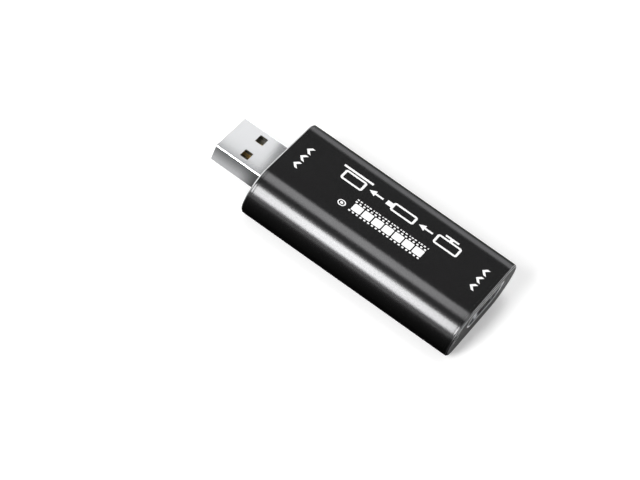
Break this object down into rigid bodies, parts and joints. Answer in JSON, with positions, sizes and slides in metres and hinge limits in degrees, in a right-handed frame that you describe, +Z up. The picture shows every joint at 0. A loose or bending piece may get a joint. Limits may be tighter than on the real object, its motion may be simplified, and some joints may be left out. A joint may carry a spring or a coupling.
{
  "type": "video capture stick",
  "caption": "Slim extruded metal stick with a video socket in one end plate and a type A plug at the other, holding a capture circuit board.",
  "frame": {"origin": "under the middle of the whole stick, plug included, on the surface that its flat underside lies on", "axes": "+Y along the stick from the video socket to the output plug, +Z up out of the printed flat face, +X across the stick"},
  "size_m": [0.0288, 0.0664, 0.0128],
  "materials": {
    "anodised_housing": "fine blasted, black anodised",
    "anodised_plate": "satin, black anodised",
    "black_screw": "black oxide, lightly worn",
    "bright_shell": "tin over nickel, drawn sheet",
    "spring_steel": "bright tinned spring strip",
    "black_moulding": "moulded, glass filled",
    "gilt_contact": "thin gold flash",
    "board_laminate": "green solder mask on glass laminate",
    "chip_moulding": "moulded epoxy",
    "tinned_lead": "matt tin",
    "ceramic_body": "fired ceramic",
    "resistor_body": "black glaze",
    "crystal_cover": "plated lid",
    "ferrite_case": "dark ferrite",
    "fuse_body": "green polymer"
  },
  "bodies": {
    "stick": {"housing_tube": "anodised_housing", "input_end_plate": "anodised_plate", "output_end_plate": "anodised_plate", "input_plate_screws": "black_screw", "output_plate_screws": "black_screw", "circuit_board": "board_laminate", "video_socket_shell": "bright_shell", "video_socket_insulator": "black_moulding", "video_socket_upper_contacts": "gilt_contact", "video_socket_lower_contacts": "gilt_contact", "output_plug_shell": "bright_shell", "output_plug_insulator": "black_moulding", "output_plug_contacts": "gilt_contact", "capture_chip": "chip_moulding", "capture_chip_leads": "tinned_lead", "memory_chip": "chip_moulding", "memory_chip_leads": "tinned_lead", "voltage_regulators": "chip_moulding", "voltage_regulator_leads": "tinned_lead", "crystal_base": "ceramic_body", "crystal_lid": "crystal_cover", "power_coil": "ferrite_case", "supply_fuse": "fuse_body", "protection_arrays": "chip_moulding", "capacitor_bodies": "ceramic_body", "capacitor_terminals": "tinned_lead", "resistor_bodies": "resistor_body", "resistor_terminals": "tinned_lead"},
    "left_finger": {"left_socket_spring": "spring_steel"},
    "right_finger": {"right_socket_spring": "spring_steel"}
  },
  "joints": [
    {"name": "left_finger_flex", "type": "hinge", "parent": "stick", "child": "left_finger", "pos_m": [-0.00225, -0.0274, 0.01035], "axis": [-1, 0, 0], "range_deg": [0, 7], "stiffness_Nm_per_rad": 0.096},
    {"name": "right_finger_flex", "type": "hinge", "parent": "stick", "child": "right_finger", "pos_m": [0.00225, -0.0274, 0.01035], "axis": [-1, 0, 0], "range_deg": [0, 7], "stiffness_Nm_per_rad": 0.096}
  ]
}
